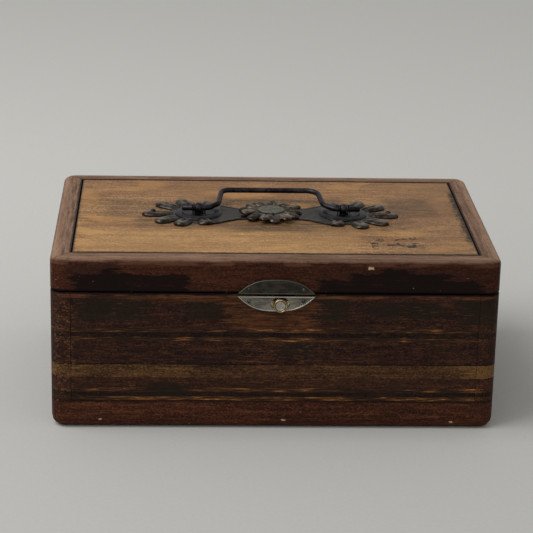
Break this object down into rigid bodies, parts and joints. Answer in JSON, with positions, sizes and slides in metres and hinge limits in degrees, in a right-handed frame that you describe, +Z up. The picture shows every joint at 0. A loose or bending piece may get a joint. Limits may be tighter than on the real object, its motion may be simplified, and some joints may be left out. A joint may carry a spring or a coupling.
{
  "type": "boxed mancala board",
  "caption": "Hinged wooden box with a bail handle on its lid, a push-button latch and a lift-out board carved with two rows of pits and end stores.",
  "frame": {"origin": "centre of the flat underside that the box rests on", "axes": "+X along the width, to the right as one faces the latch; +Y from the latch to the hinges; +Z up, out of the lid. The lid is shut and the bail lies back."},
  "size_m": [0.32, 0.2131, 0.1403],
  "materials": {
    "frame_wood": "old red-brown varnish, worn and stained dark",
    "wall_wood": "dark laminated boards with light lines, worn varnish",
    "panel_wood": "worn yellow-brown, grimy round the handle",
    "board_wood": "oiled and rubbed",
    "inside_wood": "bare and aged",
    "dark_iron": "blackened, rubbed on the edges",
    "dark_brass": "dark patina with bright worn tips",
    "boss_metal": "grey-green patina, stippled",
    "dark_nickel": "tarnished grey-green",
    "nickel": "rubbed nickel plate, scratched",
    "brass": "aged brass",
    "steel": "dull steel"
  },
  "bodies": {
    "body": {"back_wall": "wall_wood", "base_rail_back": "frame_wood", "base_rail_front": "frame_wood", "base_rail_left": "frame_wood", "base_rail_right": "frame_wood", "bottom_panel": "inside_wood", "catch_spring": "steel", "catch_spring_screw": "steel", "front_wall": "wall_wood", "hinge_left_body_leaf": "brass", "hinge_left_body_screw_1": "brass", "hinge_left_body_screw_2": "brass", "hinge_left_pin": "steel", "hinge_right_body_leaf": "brass", "hinge_right_body_screw_1": "brass", "hinge_right_body_screw_2": "brass", "hinge_right_pin": "steel", "latch_lower_nail_left": "steel", "latch_lower_nail_right": "steel", "latch_plate_lower": "nickel", "left_cleat": "inside_wood", "left_wall": "wall_wood", "pit_board": "board_wood", "right_cleat": "inside_wood", "right_wall": "wall_wood"},
    "lid": {"backplate_nail_left": "dark_iron", "backplate_nail_right": "dark_iron", "handle_backplate": "dark_brass", "handle_dish_left": "dark_iron", "handle_dish_right": "dark_iron", "handle_nut_left": "dark_iron", "handle_nut_right": "dark_iron", "handle_post_left": "dark_iron", "handle_post_right": "dark_iron", "handle_rosette": "dark_brass", "hinge_left_lid_leaf": "brass", "hinge_left_lid_screw_1": "brass", "hinge_left_lid_screw_2": "brass", "hinge_right_lid_leaf": "brass", "hinge_right_lid_screw_1": "brass", "hinge_right_lid_screw_2": "brass", "latch_plate_upper": "dark_nickel", "latch_tongue": "steel", "latch_tongue_screw": "steel", "latch_upper_nail_left": "steel", "latch_upper_nail_right": "steel", "lid_panel": "panel_wood", "lid_rail_back": "frame_wood", "lid_rail_front": "frame_wood", "lid_rail_left": "frame_wood", "lid_rail_right": "frame_wood", "rosette_boss": "boss_metal"},
    "bail": {"handle_bail": "dark_iron"},
    "button": {"latch_button": "brass", "latch_button_face": "nickel"}
  },
  "joints": [
    {"name": "lid_hinge", "type": "hinge", "parent": "body", "child": "lid", "pos_m": [0, 0.1015, 0.104], "axis": [-1, 0, 0], "range_deg": [0, 100]},
    {"name": "bail_swing", "type": "hinge", "parent": "lid", "child": "bail", "pos_m": [0, 0, 0.1344], "axis": [1, 0, 0], "range_deg": [0, 170]},
    {"name": "button_press", "type": "slide", "parent": "body", "child": "button", "axis": [0, 1, 0], "range_m": [0, 0.0015], "stiffness_N_per_m": 300, "deforming": ["catch_spring"]}
  ]
}
